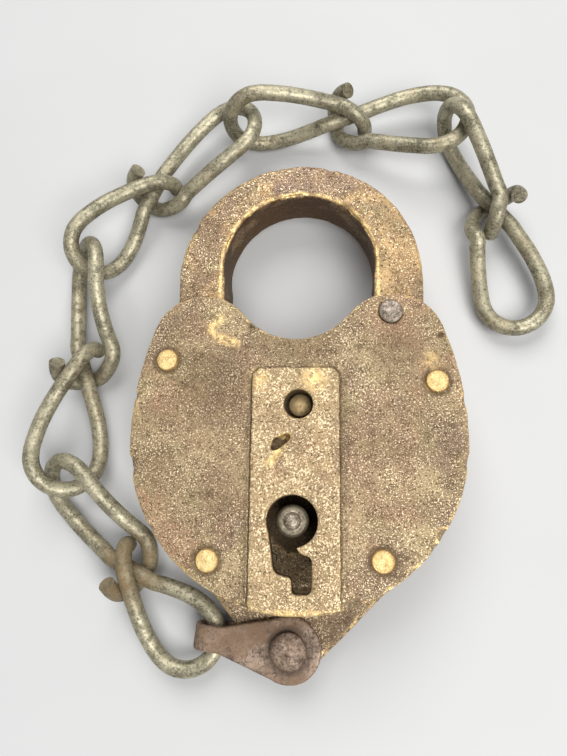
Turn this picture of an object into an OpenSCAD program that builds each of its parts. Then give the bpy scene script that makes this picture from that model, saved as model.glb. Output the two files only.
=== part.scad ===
// Heart-shaped lever padlock of cast brass, lying on its back, with a chain of knotted wire links.
// Millimetres. The origin is on the flat back face, +Y points to the shackle, +Z out of the face.

/* [Case] */
// Radius of the round lower half of the case
body_r = 31.2; // [28:0.1:38]
// Distance of each shoulder's centre from the middle line
lobe_x = 18; // [16:0.1:20]
// Height of each shoulder's centre above the middle of the case
lobe_y = 17.5; // [15:0.1:21]
// Radius of each shoulder
lobe_r = 10; // [9:0.1:11]
// Height of the bottom of the hollow between the shoulders
notch_y = 18.7; // [17:0.1:20]
// Thickness of the whole case, without the raised panel
case_t = 18; // [17:0.1:22]
// Thickness of the face plate and of the back wall
wall_t = 3.2; // [2.4:0.1:3.4]
// Thickness of the side wall
rim_t = 3; // [2.4:0.1:3.6]

/* [Face] */
// Half width of the raised centre panel at its top
panel_half_top = 8.1; // [6:0.1:9]
// Half width of the raised centre panel at its bottom
panel_half_low = 8.4; // [6:0.1:9]
// Height of the top edge of the panel above the middle of the case
panel_top_y = 13; // [11:0.1:14]
// How far the panel stands proud of the face
panel_h = 0.5; // [0.3:0.1:1]
// Diameter of the round hole of the lost keyhole cover
cover_hole_d = 5.2; // [4.8:0.1:6]
// Diameter of the round part of the keyhole
keyhole_d = 9; // [8.4:0.1:10]
// Distance of the key post below the middle of the case
key_drop = 15; // [13:0.1:16]

/* [Fasteners] */
// Diameter of the case rivets' heads
rivet_head_d = 4.4; // [3.8:0.1:5]
// Diameter of the case rivets' shanks
rivet_d = 3.2; // [2.6:0.1:3.6]
// Diameter of the shackle pin
pin_d = 4.2; // [3.4:0.1:4.8]
// Diameter of the shackle pin's head
pin_head_d = 4.7; // [4.6:0.1:6]

/* [Shackle] */
// Outer radius of the bow
bow_r = 24.4; // [23.8:0.1:25]
// Radius of the opening in the bow
bow_hole_r = 15; // [13:0.1:15.4]
// Thickness of the bow, front to back
bow_t = 10.5; // [8:0.1:10.9]
// Depth of the notch that the dog enters, from the inside of the toe
toe_notch = 3; // [2:0.1:3.4]

/* [Lock work] */
// Diameter of the key post
key_post_d = 6; // [4:0.1:6.4]
// Diameter of the post that the tumblers turn on
tumbler_post_d = 4.2; // [3.4:0.1:4.4]
// Thickness of one tumbler
tumbler_t = 1.2; // [0.8:0.1:1.3]
// Thickness of the locking dog
dog_t = 3; // [2:0.1:3.2]
// Turn of the dog from drawn back to locked, in degrees
dog_turn = 20; // [14:1:22]
// Turn of the tumblers as the dog goes home, in degrees
tumbler_turn = 8; // [5:1:10]

/* [Chain] */
// Diameter of the chain wire
wire_d = 3.4; // [2.8:0.1:3.5]
// Half width of an even loop, on the middle of the wire
loop_w = 6.4; // [6.2:0.1:6.6]
// Thickness of the strap
strap_t = 1.2; // [0.8:0.1:1.3]
// Radius of the strap's eye
strap_eye_r = 6.2; // [5:0.1:6.4]
// Width of the strap at its fold
strap_fold_w = 5; // [4:0.1:7]
// Diameter of the strap rivet's head
strap_rivet_d = 7.3; // [6:0.1:9]

/* [Hidden] */
$fn = 64;

slack = 0.05;                       // radial clearance of a turning fit
seat = 0.02;                        // radial clearance of a riveted fit
face_gap = 0.15;                    // gap between faces that turn on each other
over = 1;                           // how far a cut runs past the face that it opens
front_z = case_t - wall_t;          // where the face plate lies on the side wall
pin_at = [17.7, 23.6];              // axis of the shackle pin
rivet_at = [[-24.6, 14.6], [25.8, 10.2], [-15.6, -22], [15.4, -21.6]];
pillar_r = 3.2;                     // radius of the pillar round each case rivet
bow_at = [0.2, 32.4];               // middle of the bow's outer arc
bow_hole_at = [0.1, 34.8];          // middle of the bow's opening
bow_z = (case_t - bow_t) / 2;       // back face of the bow
leg_in = bow_hole_r - 0.3;          // inner face of the bow's two legs
heel_r = pin_d / 2 + 3;             // radius of the bow's eye
toe_y = 11;                         // lower end of the toe
toe_notch_y = [12.8, 17.8];         // lower and upper face of the notch in the toe
key_at = [-0.6, -key_drop];         // axis of the key post
keyhole_at = [-0.5, -key_drop];     // middle of the round part of the keyhole
cover_hole_at = [0.5, 6.1];         // middle of the hole of the lost cover
tumbler_at = [0.6, 6.5];            // axis of the tumbler post
dog_at = [-8, 2];                   // axis of the dog
dog_post_d = 3;                     // diameter of the dog's post
dog_z = wall_t + 0.8;               // back face of the dog
fence_r = 1;                        // radius of the fence that stands on the dog
tumbler_z = dog_z + dog_t + 0.4;    // back face of the first tumbler
tumbler_step = tumbler_t + 0.4;     // from one tumbler to the next
spring_t = 0.5;                     // thickness of the flat springs
ring_z = tumbler_z + 3 * tumbler_step + 0.4;
lug_z = 2.2;                        // back face of the chain lug
lug_t = 4.4;                        // thickness of the chain lug
lug_at = [-1.7, -body_r - 7.5];     // axis of the strap rivet
lug_r = strap_eye_r - 0.6;          // radius of the lug's round end
lug_base = [20.5, -24.5];           // where the lug's side runs into the case
strap_turn = 174;                   // heading of the strap from the rivet to the fold
strap_len = 15.1;                   // from the rivet to the middle of the fold
strap_shank_d = 4;                  // diameter of the strap rivet's shank
wire_r = wire_d / 2;
// The knot in wire diameters: forward along the chain, to the left, and up from its middle.
// One wire end crosses over it, the other passes under it and comes up on its left.
over_knot = [[-0.24, 0.18, 1.1], [0.41, -0.18, 1.06], [0.94, -0.47, 0.76], [1.26, -0.65, 0.24],
             [1.32, -0.65, -0.41]];
under_knot = [[1.53, -1.68, 0.09], [0.88, -1.71, -0.15], [0.21, -1.35, -0.53], [-0.35, -0.71, -0.94],
              [-0.59, 0.12, -1.09], [-0.74, 0.94, -0.76], [-0.59, 1.35, 0], [-0.29, 1.35, 0.71],
              [0.15, 1.21, 1.21]];
through_knot = [[-1.32, -0.53, 0], [-0.44, -0.18, 0], [0.44, 0.18, 0], [1.32, 0.53, 0]];
knot_z = 1.09 * wire_d + wire_r + face_gap; // height of a knot, clear of the ground
// The knots, and the places where links meet: bearing from the middle of the case, distance
// beyond its round, and for the meeting places their height. The first one is on the strap.
knot_at = [[217, 10.4], [161.2, 17.8], [120.6, 34.3], [82.5, 42.5], [50.6, 33.5]];
meet_at = [[188, 17.7, 7.2], [138.8, 30.5, 8], [100.3, 41.6, 9], [64.9, 45.3, 9.2],
           [28.3, 20.3, 3.4]];
strap_meet = [-15.9, -2.9, 4.4];    // where the first link bears in the fold, from the rivet
// For each link, its loop towards the strap and its loop towards the free end:
// the roll of the loop about its own axis, in degrees
rolls = [[0, -42], [-34, -52], [-50, -18], [-70, -8], [-84, 6]];
// how far the loop's end reaches past the meeting point
hooks = [[0, 2.7], [2.8, 2.5], [2.6, 2.4], [2.7, 3.2], [2.4, 0]];
// how much wider than an even loop it was bent, on each side
spreads = [[0, 0], [0.4, 0], [0, 0], [0, 0.8], [-0.2, 0]];
wire_sides = 8;                     // corners of the wire's section

// ---- outlines -------------------------------------------------------------------------------

function arc(c, r, a0, a1, n) =
    [for (i = [0 : n]) c + r * [cos(a0 + (a1 - a0) * i / n), sin(a0 + (a1 - a0) * i / n)]];

// The heart: a round lower half, two long shoulder arcs, two lobes and the hollow between them
function heart(inset) =
    let (k = (lobe_x ^ 2 + lobe_y ^ 2 - (body_r - lobe_r) ^ 2) / (2 * (body_r - lobe_r - lobe_x)),
         dip = notch_y - lobe_y,
         notch_r = (lobe_x ^ 2 + dip ^ 2 - lobe_r ^ 2) / (2 * (lobe_r - dip)),
         a = atan2(lobe_y, lobe_x + k),
         b = atan2(dip + notch_r, -lobe_x),
         r = lobe_r - inset,
         side = body_r + k - inset)
    concat(arc([0, 0], body_r - inset, -180, 0, 36),
           arc([-k, 0], side, a / 4, a * 3 / 4, 2),
           arc([lobe_x, lobe_y], r, a, b, 12),
           arc([0, notch_y + notch_r], notch_r + inset, b - 184, 4 - b, 8),
           arc([-lobe_x, lobe_y], r, 180 - b, 180 - a, 12),
           arc([k, 0], side, 180 - a * 3 / 4, 180 - a / 4, 2));

module heart_slab(z0, z1, inset = 0) {
    translate([0, 0, z0]) linear_extrude(z1 - z0) polygon(heart(inset));
}

module post(at, d, z0, z1) {
    translate([at[0], at[1], z0]) cylinder(d = d, h = z1 - z0);
}

// A post with a domed end
module domed_post(at, d, z0, z1, dome) {
    r = d / 2;
    ball = (r ^ 2 + dome ^ 2) / (2 * dome);
    translate([at[0], at[1], 0])
        rotate_extrude()
            polygon(concat([[0, z0], [r, z0]],
                           [for (i = [0 : 6])
                               let (a = asin(r / ball) * (6 - i) / 6)
                               [ball * sin(a), z1 - ball + ball * cos(a)]]));
}

// ---- case -----------------------------------------------------------------------------------

// The two tapering sides of the lug and its round end
function lug_outline() =
    concat([lug_base], [[-lug_base[0], lug_base[1]]],
           arc(lug_at, lug_r, 225, 315, 10));

// Where the bow passes through the side wall: the heel's eye and the toe's slot
module bow_mouths(z0, z1) {
    heel_clear = heel_r + 4.2;
    post(pin_at, 2 * (heel_r + 0.8), z0, z1);
    translate([pin_at[0] - 2.6, pin_at[1] - 4.4, z0])
        cube([2 * heel_clear, 2 * heel_clear, z1 - z0]);
    translate([bow_at[0] - bow_r - 1, toe_y - 1.2, z0])
        cube([bow_r - leg_in + 2.8, 25, z1 - z0]);
}

module case_back() {
    color("rosybrown") difference() {
        union() {
            heart_slab(0, front_z);
            translate([0, 0, lug_z]) linear_extrude(lug_t) polygon(lug_outline());
        }
        difference() {
            heart_slab(wall_t, front_z + over, rim_t);
            for (at = rivet_at) post(at, 2 * pillar_r, 0, case_t);
        }
        bow_mouths(wall_t, front_z + over);
        for (at = rivet_at) post(at, rivet_d + 2 * seat, -over, case_t);
        post(pin_at, pin_d + 2 * seat, -over, case_t);
        post(key_at, key_post_d - 2 + 2 * seat, -over, case_t);
        post(tumbler_at, tumbler_post_d - 1 + 2 * seat, -over, case_t);
        post(dog_at, dog_post_d - 1 + 2 * seat, -over, case_t);
        post(lug_at, strap_shank_d + 2 * seat, -over, case_t);
    }
}

// The keyhole's slot, down from the round part, with the steps of the key's bit
function key_slot() =
    let (x = keyhole_at[0], y = keyhole_at[1], r = keyhole_d / 2)
    [[x - r + 0.2, y + 0.4], [x - r + 0.5, y - 2.6], [x - r + 0.9, y - 5], [x - r + 1.3, y - 8],
     [x - 2.5, y - 9], [x - 0.4, y - 9.4], [x + 0.1, y - 10], [x + 0.2, y - 12.3],
     [x + 2.9, y - 12.4], [x + 3.4, y - 11.8], [x + 3.4, y - 6.3], [x + 1.5, y - 5.7],
     [x + 0.8, y - 5], [x + 0.8, y - 3.6], [x + 1.6, y - 1]];

// The raised panel between the two outer fields of the face
module face_panel() {
    low = -body_r - over;
    intersection() {
        heart_slab(front_z, case_t + panel_h);
        translate([0, 0, front_z]) linear_extrude(wall_t + panel_h)
            polygon([[-panel_half_low, low], [panel_half_low - 0.2, low],
                     [panel_half_top, panel_top_y - 1.5], [panel_half_top - 1.4, panel_top_y],
                     [0, panel_top_y + 0.6], [1.4 - panel_half_top, panel_top_y],
                     [-panel_half_top, panel_top_y - 1.5]]);
    }
}

// The pit that a blow has left in the panel
module broken_pit() {
    depth = 1.6;
    translate([-2.6, -0.9, case_t + panel_h - depth])
        linear_extrude(depth + over)
            polygon([[-2, -1.7], [-0.8, -1.4], [1.2, 0.2], [2.1, 1.5], [0.6, 1.3], [-0.2, 0.8],
                     [-1.3, 0.6]]);
}

module case_front() {
    top = case_t + panel_h + over;
    color("burlywood") difference() {
        union() {
            heart_slab(front_z, case_t);
            face_panel();
        }
        post(keyhole_at, keyhole_d, front_z - over, top);
        translate([0, 0, front_z - over]) linear_extrude(top - front_z + over)
            polygon(key_slot());
        post(cover_hole_at, cover_hole_d, front_z - over, top);
        broken_pit();
        for (at = rivet_at) post(at, rivet_d + 2 * seat, front_z - over, top);
        post(pin_at, pin_d + 2 * seat, front_z - over, top);
    }
}

// A case rivet: a shank through both castings and a low head on the face
module case_rivet(i) {
    color("khaki") union() {
        post(rivet_at[i], rivet_d, 0, case_t + seat);
        domed_post(rivet_at[i], rivet_head_d, case_t + seat, case_t + 0.6, 0.3);
    }
}

// ---- shackle --------------------------------------------------------------------------------

// The bow: outer arc, toe with its notch, opening, and the heel's leg
function bow_outline() =
    let (outer = bow_at[0] - bow_r, hole_a = acos(leg_in / bow_hole_r),
         toe_out = rivet_at[0][0] + pillar_r + 0.8, deep = toe_notch)
    concat(arc(bow_at, bow_r, 0, 180, 40),
           [[outer, rivet_at[0][1] + pillar_r + 3], [toe_out, rivet_at[0][1] + 1.8],
            [toe_out, toe_y + 1], [toe_out + 1, toe_y], [-leg_in - 1, toe_y],
            [-leg_in, toe_y + 1], [-leg_in, toe_notch_y[0]], [-leg_in - deep, toe_notch_y[0]],
            [-leg_in - deep, toe_notch_y[1]], [-leg_in, toe_notch_y[1]]],
           arc(bow_hole_at, bow_hole_r, 180 + hole_a, -hole_a, 30),
           [[leg_in, pin_at[1]], [bow_at[0] + bow_r, pin_at[1]]]);

module shackle() {
    color("tan") difference() {
        union() {
            translate([0, 0, bow_z]) linear_extrude(bow_t) polygon(bow_outline());
            post(pin_at, 2 * heel_r, bow_z, bow_z + bow_t);
        }
        post(pin_at, pin_d + 2 * slack, bow_z - over, bow_z + bow_t + over);
    }
}

module shackle_pin() {
    color("silver") union() {
        post(pin_at, pin_d, 0, case_t + seat);
        domed_post(pin_at, pin_head_d, case_t + seat, case_t + 0.9, 0.35);
    }
}

// ---- lock work ------------------------------------------------------------------------------

// The key post: a foot in the back wall, the turned post and its small stepped nose
module key_post() {
    r = key_post_d / 2;
    nose = 1.5;
    top = case_t - 2.2;
    color("dimgray") translate([key_at[0], key_at[1], 0])
        rotate_extrude()
            polygon([[0, 0.1], [r - 1, 0.1], [r - 1, wall_t], [r, wall_t], [r, top - 0.6],
                     [r - 0.5, top], [nose, top], [nose, top + 0.5], [nose - 0.6, top + 0.9],
                     [0, top + 1]]);
}

// The round lip under the face that guides the key's bit
module keyway_ring() {
    outer = key_post_d / 2 + 4.8;
    gate = 6;
    color("peru") difference() {
        post(key_at, 2 * outer, ring_z, front_z);
        post(key_at, 2 * (outer - 1), ring_z - over, front_z + over);
        translate([key_at[0] - gate / 2, key_at[1] - 2 * outer, ring_z - over])
            cube([gate, 2 * outer, 2 * front_z]);
    }
}

module tumbler_post() {
    foot_d = tumbler_post_d - 1;
    color("dimgray") union() {
        post(tumbler_at, foot_d, 0.1, wall_t + 0.1);
        domed_post(tumbler_at, tumbler_post_d, wall_t, front_z - 0.1, 0.7);
    }
}

module dog_post() {
    foot_d = dog_post_d - 1;
    color("dimgray") union() {
        post(dog_at, foot_d, 0.1, wall_t + 0.1);
        post(dog_at, dog_post_d, wall_t, front_z - 0.1);
    }
}

module turned_about(at, angle) {
    translate([at[0], at[1], 0]) rotate(angle) translate([-at[0], -at[1], 0]) children();
}

// The dog, drawn as locked: a nose in the toe's notch, the fence, and a tail for the key
module dog_locked() {
    nose = [-leg_in - toe_notch + 0.5, toe_notch_y[0] + 0.4];
    difference() {
        union() {
            translate([0, 0, dog_z]) linear_extrude(dog_t)
                polygon([nose, nose + [3.6, 0], dog_at + [-3.2, 2], dog_at + [-3.4, -1],
                         dog_at + [2, -8.4], dog_at + [4.4, -8], dog_at + [3.4, 0],
                         dog_at + [3.6, 5.6], dog_at + [0.6, 6.4], nose + [3.4, 3.4],
                         nose + [0, 3.4]]);
            post(dog_at + [2.5, 5], 2 * fence_r, dog_z + dog_t - 0.1,
                 tumbler_z + 3 * tumbler_step);
        }
        post(dog_at, dog_post_d + 2 * slack, dog_z - over, dog_z + dog_t + over);
    }
}

module locking_dog() {
    color("darkkhaki") turned_about(dog_at, -dog_turn) dog_locked();
}

// One tumbler, drawn as locked: an eye with the fence's gate, a stem, and the belly over the key
module tumbler_locked(z) {
    eye_r = tumbler_post_d / 2 + 2.9;
    inner = key_post_d / 2 + 4.4;
    belly = concat(arc(key_at, inner + 2.8, 20, 100, 10), arc(key_at, inner, 100, 20, 10));
    gate_at = tumbler_at + [-eye_r + 0.4, 0];
    difference() {
        union() {
            post(tumbler_at, 2 * eye_r, z, z + tumbler_t);
            translate([0, 0, z]) linear_extrude(tumbler_t) polygon(belly);
            translate([tumbler_at[0] - 1.4, key_at[1] + inner + 1, z])
                cube([4.6, tumbler_at[1] - key_at[1] - inner - 4, tumbler_t]);
        }
        post(tumbler_at, tumbler_post_d + 2 * slack, z - over, z + tumbler_t + over);
        post(gate_at, 2 * fence_r + 1.2, z - over, z + tumbler_t + over);
    }
}

module tumbler(i) {
    color("goldenrod") turned_about(tumbler_at, tumbler_turn)
        tumbler_locked(tumbler_z + i * tumbler_step);
}

// A flat spring that reaches from its root in a curve towards the side wall
module flat_spring(c, r, a0, a1, z, h) {
    translate([0, 0, z]) linear_extrude(h)
        polygon(concat(arc(c, r, a0, a1, 10), arc(c, r - spring_t, a1, a0, 10)));
}

module tumbler_spring(i) {
    r = 22;
    color("steelblue") turned_about(tumbler_at, tumbler_turn)
        flat_spring(tumbler_at + [4.8, 2 - r], r, 90, 50, tumbler_z + i * tumbler_step, tumbler_t);
}

module dog_spring() {
    r = 15;
    color("steelblue") turned_about(dog_at, -dog_turn)
        flat_spring(dog_at + [-3.45, -r - 0.4], r, 90, 160, dog_z + 0.4, dog_t - 0.8);
}

module kick_spring() {
    r = 16;
    c = [pin_at[0] - 9.6, pin_at[1] - heel_r - 0.4 - r];
    color("steelblue") flat_spring(c, r, 56, 22, bow_z + 3, bow_t - 6);
}

// ---- chain ----------------------------------------------------------------------------------

// The side view of the folded band: two leaves and the round fold between them
function fold_profile(inner) =
    let (mid = lug_z + lug_t / 2)
    concat([[-2 * lug_r, mid + inner + strap_t]],
           [for (i = [0 : 12]) [strap_len + (inner + strap_t) * sin(i * 15),
                                mid + (inner + strap_t) * cos(i * 15)]],
           [[-2 * lug_r, mid - inner - strap_t], [-2 * lug_r, mid - inner]],
           [for (i = [0 : 12]) [strap_len + inner * sin(i * 15), mid - inner * cos(i * 15)]],
           [[-2 * lug_r, mid + inner]]);

module chain_strap() {
    inner = lug_t / 2 + face_gap;
    end_x = strap_len + inner + strap_t + over;
    half = strap_fold_w / 2;
    color("sienna") translate([lug_at[0], lug_at[1], 0]) rotate(strap_turn) difference() {
        intersection() {
            rotate([90, 0, 0]) translate([0, 0, -2 * strap_eye_r])
                linear_extrude(4 * strap_eye_r) polygon(fold_profile(inner));
            linear_extrude(case_t)
                polygon(concat([[end_x, -half], [end_x, half], [strap_len - 2, half]],
                               arc([0, 0], strap_eye_r, 62, 298, 24),
                               [[strap_len - 2, -half]]));
        }
        post([0, 0], strap_shank_d + 2 * slack, -over, case_t);
    }
}

module strap_rivet() {
    inner = lug_t / 2 + face_gap;
    low = lug_z + lug_t / 2 - inner - strap_t - face_gap;
    high = lug_z + lug_t / 2 + inner + strap_t + face_gap;
    color("saddlebrown") union() {
        post(lug_at, strap_rivet_d - 1.6, 0.1, low);
        post(lug_at, strap_shank_d, low - 0.05, high + 0.05);
        domed_post(lug_at, strap_rivet_d, high, high + 1.7, 0.9);
    }
}

function unit(v) = v / norm(v);
function flat(v) = [v[0], v[1], 0];
function side_of(v) = [-v[1], v[0], 0] / norm(flat(v));
function beside(p) = (body_r + p[1]) * [cos(p[0]), sin(p[0])];
function meeting(i) =
    i == 0 ? concat(lug_at, 0) + strap_meet : concat(beside(meet_at[i - 1]), meet_at[i - 1][2]);

// The two directions of a loop: along it, and across it after its roll
function loop_frame(from, to, roll) =
    let (x = unit(to - from), s = side_of(x), up = cross(x, s))
    [x, s * cos(roll) + up * sin(roll)];

// A strand of a loop from a point at the knot to the loop's full width, fading from the knot's
// own height and side into the plane of the loop
function strand(at, f, start, mid, w, n) =
    let (x = f[0], y = f[1], p = start - at, off = p - x * (p * x) - y * (p * y))
    [for (i = [1 : n]) let (t = i / (n + 1))
        at + x * (p * x + (mid - p * x) * t)
           + y * (p * y + (w - p * y) * sin(90 * t)) + off * (1 - t) ^ 2];

// One loop of a link, from one point at the knot out, round the end and back to another
function loop_points(at, f, length, w, start, end) =
    let (mid = length - w, n = 6)
    concat(strand(at, f, start, mid, w, n),
           [for (i = [0 : 8]) let (a = 90 - i * 22.5)
               at + f[0] * (mid + w * cos(a)) + f[1] * w * sin(a)],
           reversed(strand(at, f, end, mid, -w, n)));

function reversed(list) = [for (i = [len(list) - 1 : -1 : 0]) list[i]];

// Part of the knot, turned so that it runs along the chain
function knot_points(at, k, list) =
    [for (p = list) at + wire_d * (k * p[0] + side_of(k) * p[1] + [0, 0, p[2]])];

// The whole wire of a link: crossing end, first loop, neck, second loop, tucked end
function link_points(i) =
    let (at = concat(beside(knot_at[i]), knot_z),
         back = loop_frame(at, meeting(i), rolls[i][0]),
         fore = loop_frame(at, meeting(i + 1), rolls[i][1]),
         k = unit(flat(fore[0]) - flat(back[0])),
         back_len = norm(meeting(i) - at) + hooks[i][0],
         fore_len = norm(meeting(i + 1) - at) + hooks[i][1],
         over_end = knot_points(at, k, over_knot),
         under_end = knot_points(at, k, under_knot),
         neck = knot_points(at, k, through_knot))
    concat(reversed(over_end),
           reversed(loop_points(at, back, back_len, loop_w + spreads[i][0], neck[0], over_end[0])),
           neck,
           loop_points(at, fore, fore_len, loop_w + spreads[i][1], neck[3], under_end[0]),
           under_end);

// A round wire that follows a list of points
module wire(p) {
    n = len(p);
    t = [for (i = [0 : n - 1]) unit(p[min(i + 1, n - 1)] - p[max(i - 1, 0)])];
    start = unit(cross(t[0], [0.3, 0.2, 1]));
    side = [for (i = 0, u = start; i < n;
                 i = i + 1, u = i < n ? unit(u - t[i] * (u * t[i])) : u) u];
    ring = [for (i = [0 : n - 1]) for (j = [0 : wire_sides - 1])
               let (a = 360 * j / wire_sides)
               p[i] + wire_r * (side[i] * cos(a) + cross(t[i], side[i]) * sin(a))];
    caps = [[for (j = [0 : wire_sides - 1]) j],
            [for (j = [wire_sides - 1 : -1 : 0]) (n - 1) * wire_sides + j]];
    walls = [for (i = [0 : n - 2]) for (j = [0 : wire_sides - 1])
                let (a = i * wire_sides + j, b = i * wire_sides + (j + 1) % wire_sides)
                [a, a + wire_sides, b + wire_sides, b]];
    polyhedron(ring, concat(caps, walls));
}

module chain_link(i) {
    color("darkseagreen") wire(link_points(i));
}

case_back();
case_front();
case_rivet(0);  // case_rivet_1
case_rivet(1);  // case_rivet_2
case_rivet(2);  // case_rivet_3
case_rivet(3);  // case_rivet_4
shackle();
shackle_pin();
key_post();
keyway_ring();
tumbler_post();
dog_post();
locking_dog();
tumbler(0);  // tumbler_1
tumbler(1);  // tumbler_2
tumbler(2);  // tumbler_3
tumbler_spring(0);  // tumbler_spring_1
tumbler_spring(1);  // tumbler_spring_2
tumbler_spring(2);  // tumbler_spring_3
dog_spring();
kick_spring();
chain_strap();
strap_rivet();
chain_link(0);  // chain_link_1
chain_link(1);  // chain_link_2
chain_link(2);  // chain_link_3
chain_link(3);  // chain_link_4
chain_link(4);  // chain_link_5
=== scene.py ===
"""Looks of an old heart-shaped brass lever padlock with a chain of knotted wire links."""
import logging
import math
from dataclasses import dataclass
from enum import Enum
from typing import Sequence

import bmesh
import bpy
import numpy as np
from mathutils import Matrix, Vector


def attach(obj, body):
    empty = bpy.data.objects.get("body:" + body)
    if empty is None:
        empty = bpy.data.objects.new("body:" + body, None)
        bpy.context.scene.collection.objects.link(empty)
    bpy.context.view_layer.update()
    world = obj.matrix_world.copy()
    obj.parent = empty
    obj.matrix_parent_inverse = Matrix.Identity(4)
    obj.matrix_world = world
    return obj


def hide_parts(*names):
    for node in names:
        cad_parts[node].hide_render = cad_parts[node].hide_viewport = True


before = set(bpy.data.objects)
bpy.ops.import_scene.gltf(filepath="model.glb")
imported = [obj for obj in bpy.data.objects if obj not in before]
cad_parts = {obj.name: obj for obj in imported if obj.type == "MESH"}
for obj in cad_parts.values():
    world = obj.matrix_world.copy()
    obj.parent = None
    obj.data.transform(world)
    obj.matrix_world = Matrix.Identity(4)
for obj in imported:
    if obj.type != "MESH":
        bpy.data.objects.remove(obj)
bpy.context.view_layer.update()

log = logging.getLogger("padlock")
MM = 0.001
Colour = tuple[float, float, float]
Place = tuple[float, float, float]
Pair = tuple[float, float]
Mark = tuple[float, float, float, float]  # x, y, reach and strength
Route = tuple[Place, ...]
Marks = tuple[Mark, ...]
Socket = bpy.types.NodeSocket
Value = Socket | float
Tree = bpy.types.NodeTree
Node = bpy.types.Node
Object = bpy.types.Object
Finish = bpy.types.Material
MIX_SHARE, MIX_UNDER, MIX_OVER, MIX_RESULT = 0, 6, 7, 2  # sockets of a Mix node set to colour
FULL_TURN = 6.28


class Metal(Enum):
    """What a finish is made of: how far it shines as bare metal."""

    PATINA = 0.32
    DULL = 0.45
    BARE = 0.8


# ---- small maths


def ease(low: float, high: float, value: np.ndarray) -> np.ndarray:
    """Smooth step from 0 where a value is at low to 1 where it is at high."""
    t = np.clip((value - low) / (high - low), 0, 1)
    return t * t * (3 - 2 * t)


def lattice(points: np.ndarray, cell: float, seed: int) -> np.ndarray:
    """Value noise with one random number at each corner of a cubic lattice.

    Args:
        points: Positions in millimetres, one a row.
        cell: Edge of a lattice cell in millimetres.
        seed: Which noise.

    Returns:
        A number from 0 to 1 for each position.
    """
    spot = points / cell
    base = np.floor(spot).astype(np.int64)
    part = spot - base
    part = part * part * (3 - 2 * part)
    total = np.zeros(len(points))
    for corner in range(8):
        step = np.array([corner & 1, corner >> 1 & 1, corner >> 2 & 1])
        key = (base + step) @ np.array([73856093, 19349663, 83492791]) + seed * 2654435761
        key = (key ^ (key >> 13)) * 1274126177 & 0x7FFFFFFF
        chance = ((key ^ (key >> 16)) & 0xFFFF) / 65535
        total += chance * np.prod(np.where(step == 1, part, 1 - part), axis=1)
    return total


def rough(points: np.ndarray, cell: float, seed: int, layers: int = 3) -> np.ndarray:
    """Layered value noise, each layer half the size and half the strength of the last.

    Args:
        points: Positions in millimetres.
        cell: Size of the largest layer's cell.
        seed: Which noise.
        layers: How many layers.

    Returns:
        A number from 0 to 1 for each position.
    """
    total, weight = np.zeros(len(points)), 0.0
    for layer in range(layers):
        share = 0.5 ** layer
        total += share * lattice(points, cell * share, seed + 17 * layer)
        weight += share
    return total / weight


def off_axis(points: np.ndarray, at: Pair) -> np.ndarray:
    """Distance in plan of each position from an upright axis."""
    return np.hypot(points[:, 0] - at[0], points[:, 1] - at[1])


def near(points: np.ndarray, at: Place | np.ndarray, reach: float) -> np.ndarray:
    """How close each position is to a place, 1 at the place and 0 from reach outwards."""
    return 1 - ease(0.0, 1.0, np.linalg.norm(points - np.array(at), axis=1) / reach)


def dabs(points: np.ndarray, height: float, marks: Marks) -> list[np.ndarray]:
    """Soft round marks at one height, each 0 outside its reach and its own strength in the middle."""
    return [near(points, (x, y, height), reach) * strength for x, y, reach, strength in marks]


def near_line(points: np.ndarray, route: Route, reach: float) -> np.ndarray:
    """How close each position is to a route of straight runs.

    Args:
        points: Positions in millimetres.
        route: Corners of the route.
        reach: Distance at which the closeness falls to 0.

    Returns:
        1 on the route, 0 from reach outwards.
    """
    best = np.full(len(points), 1e9)
    for a, b in zip(route[:-1], route[1:]):
        start, run = np.array(a), np.array(b) - np.array(a)
        t = np.clip((points - start) @ run / (run @ run), 0, 1)
        best = np.minimum(best, np.linalg.norm(points - start - t[:, None] * run, axis=1))
    return 1 - ease(0.0, 1.0, best / reach)


# ---- node trees


def feed(tree: Tree, socket: Socket, value: Value | Colour) -> None:
    """Links a socket to another, or sets its number or colour.

    Args:
        tree: Tree that both are in.
        socket: The input to fill.
        value: What goes in.
    """
    if isinstance(value, Socket):
        tree.links.new(value, socket)
    elif isinstance(value, tuple) and socket.type == "RGBA":
        socket.default_value = (*value, 1.0)
    else:
        socket.default_value = value


def reckon(tree: Tree, kind: str, a: Value, b: Value,
           clamp: bool = False) -> Socket:
    """One piece of arithmetic on two values.

    Args:
        tree: Tree that it goes in.
        kind: Blender's name for it, such as MULTIPLY.
        a: First value.
        b: Second value.
        clamp: Whether the result is held to 0..1.

    Returns:
        The result.
    """
    node = tree.nodes.new("ShaderNodeMath")
    node.operation = kind
    node.use_clamp = clamp
    feed(tree, node.inputs[0], a)
    feed(tree, node.inputs[1], b)
    return node.outputs[0]


def start_tree(name: str, inputs: dict[str, str]) -> tuple[Tree, Node]:
    """Starts a Geometry Nodes tree that takes a shape, named values and a finish.

    Args:
        name: Name of the tree.
        inputs: Kind of each named value, such as Float.

    Returns:
        The tree and its input node.
    """
    tree = bpy.data.node_groups.new(name, "GeometryNodeTree")
    make = tree.interface.new_socket
    make("Geometry", in_out="OUTPUT", socket_type="NodeSocketGeometry")
    for label, kind in {"Geometry": "Geometry", **inputs, "Finish": "Material"}.items():
        make(label, in_out="INPUT", socket_type=f"NodeSocket{kind}")
    return tree, tree.nodes.new("NodeGroupInput")


def lead(tree: Tree, shape: Socket, *steps: tuple[Node, int | str]) -> Socket:
    """Leads a value through nodes, into one input of each and out of its first output.

    Args:
        tree: The tree.
        shape: What goes into the first node.
        *steps: Each node with the number or name of its input.

    Returns:
        The last node's first output.
    """
    for node, place in steps:
        tree.links.new(shape, node.inputs[place])
        shape = node.outputs[0]
    return shape


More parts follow.
